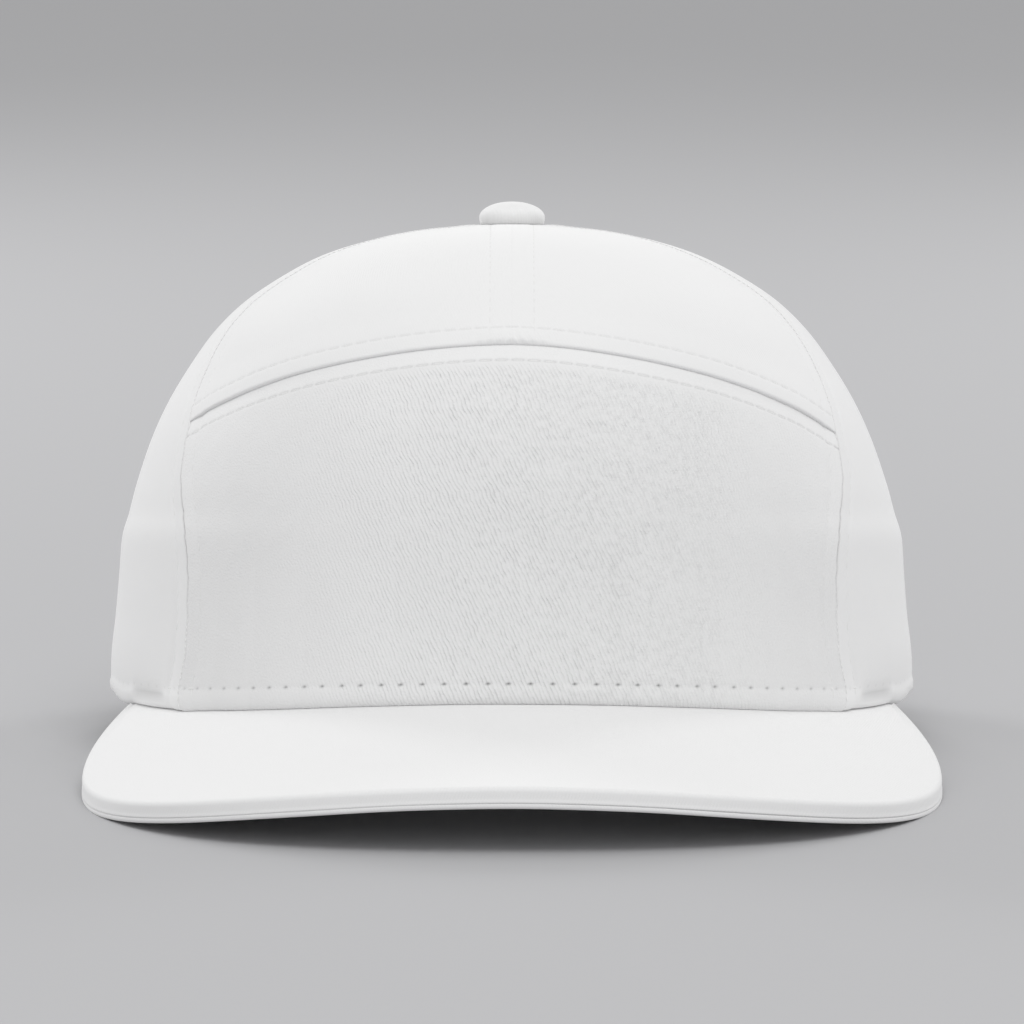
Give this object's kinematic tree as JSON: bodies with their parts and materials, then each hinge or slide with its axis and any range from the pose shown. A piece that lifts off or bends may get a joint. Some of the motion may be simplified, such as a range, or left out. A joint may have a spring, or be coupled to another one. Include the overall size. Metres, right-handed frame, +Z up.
{
  "type": "seven-panel cloth cap with an arched front panel and a flat peak",
  "caption": "White cloth cap with a high rounded crown, an arched seam over its twill front panel, a covered button and a nearly flat peak.",
  "frame": {"origin": "centre of the bounding box on the surface that the cap rests on", "axes": "+Z up from the resting surface, -Y towards the front of the peak, +X towards the right of the picture"},
  "size_m": [0.177, 0.2702, 0.1141],
  "materials": {
    "front_twill": "matt white cotton twill with fine diagonal ribs",
    "crown_cloth": "matt white cotton twill, finer than the front panel's",
    "button_cloth": "matt white cotton stretched over a button",
    "peak_cloth": "matt white cotton stretched over a stiff peak",
    "strap_cloth": "matt white woven strap",
    "band_cloth": "matt off-white cotton band"
  },
  "bodies": {
    "root": {"front_panel": "front_twill", "upper_front_left": "crown_cloth", "upper_front_right": "crown_cloth", "side_panel_left": "crown_cloth", "side_panel_right": "crown_cloth", "back_panel_left": "crown_cloth", "back_panel_right": "crown_cloth", "button": "button_cloth", "peak_upper_cover": "peak_cloth", "peak_under_cover": "peak_cloth", "back_strap": "strap_cloth", "sweatband": "band_cloth"}
  },
  "joints": []
}
